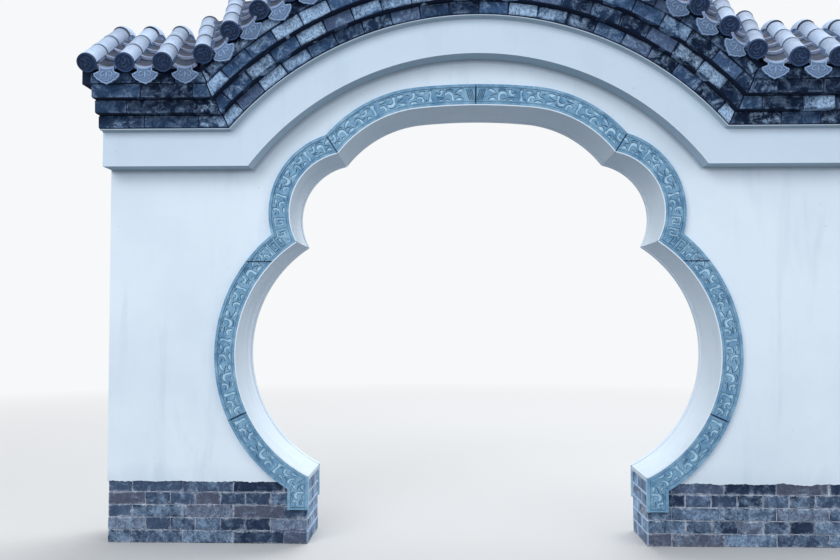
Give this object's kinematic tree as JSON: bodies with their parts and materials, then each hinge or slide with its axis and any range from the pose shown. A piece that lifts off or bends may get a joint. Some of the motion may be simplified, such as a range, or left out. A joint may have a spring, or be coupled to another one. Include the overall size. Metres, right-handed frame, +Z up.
{
  "type": "moon gate",
  "caption": "Plastered garden wall on a brick plinth, pierced by a lobed walk-through opening framed in carved stone, with a corbelled cornice and an arched tile roof.",
  "frame": {"origin": "on the ground, midway along the wall and midway through its thickness, below the crown of the opening", "axes": "+X along the wall to the right seen from the front, +Y through the gate to the back, so the front faces -Y, +Z up"},
  "size_m": [3.89, 1.1128, 3.2919],
  "materials": {
    "plinth_brick": "weathered grey brick with pale mortar joints",
    "plaster": "weathered lime plaster",
    "frieze_plaster": "lime plaster",
    "cornice_brick": "dark grey brick with pale salt bloom",
    "roof_mortar": "lime mortar",
    "pan_tile": "unglazed grey clay",
    "cover_tile": "unglazed grey clay",
    "drip_tile": "moulded unglazed grey clay",
    "end_cap": "moulded dark grey clay",
    "carved_stone": "carved blue-grey stone"
  },
  "bodies": {
    "root": {"left_plinth": "plinth_brick", "right_plinth": "plinth_brick", "left_wall": "plaster", "right_wall": "plaster", "left_shoulder_wall": "plaster", "right_shoulder_wall": "plaster", "crown_wall": "plaster", "left_frieze": "frieze_plaster", "right_frieze": "frieze_plaster", "arch_frieze": "frieze_plaster", "left_cornice": "cornice_brick", "right_cornice": "cornice_brick", "arch_cornice": "cornice_brick", "left_roof_bed": "roof_mortar", "right_roof_bed": "roof_mortar", "arch_roof_bed": "roof_mortar", "left_pan_tiles": "pan_tile", "right_pan_tiles": "pan_tile", "arch_pan_tiles": "pan_tile", "left_cover_tiles": "cover_tile", "right_cover_tiles": "cover_tile", "arch_cover_tiles": "cover_tile", "front_drip_tiles": "drip_tile", "back_drip_tiles": "drip_tile", "front_end_caps": "end_cap", "back_end_caps": "end_cap", "front_left_crown_stone": "carved_stone", "front_left_shoulder_stone": "carved_stone", "front_left_haunch_stone": "carved_stone", "front_left_foot_stone": "carved_stone", "front_right_crown_stone": "carved_stone", "front_right_shoulder_stone": "carved_stone", "front_right_haunch_stone": "carved_stone", "front_right_foot_stone": "carved_stone", "back_left_crown_stone": "carved_stone", "back_left_shoulder_stone": "carved_stone", "back_left_haunch_stone": "carved_stone", "back_left_foot_stone": "carved_stone", "back_right_crown_stone": "carved_stone", "back_right_shoulder_stone": "carved_stone", "back_right_haunch_stone": "carved_stone", "back_right_foot_stone": "carved_stone"}
  },
  "joints": []
}
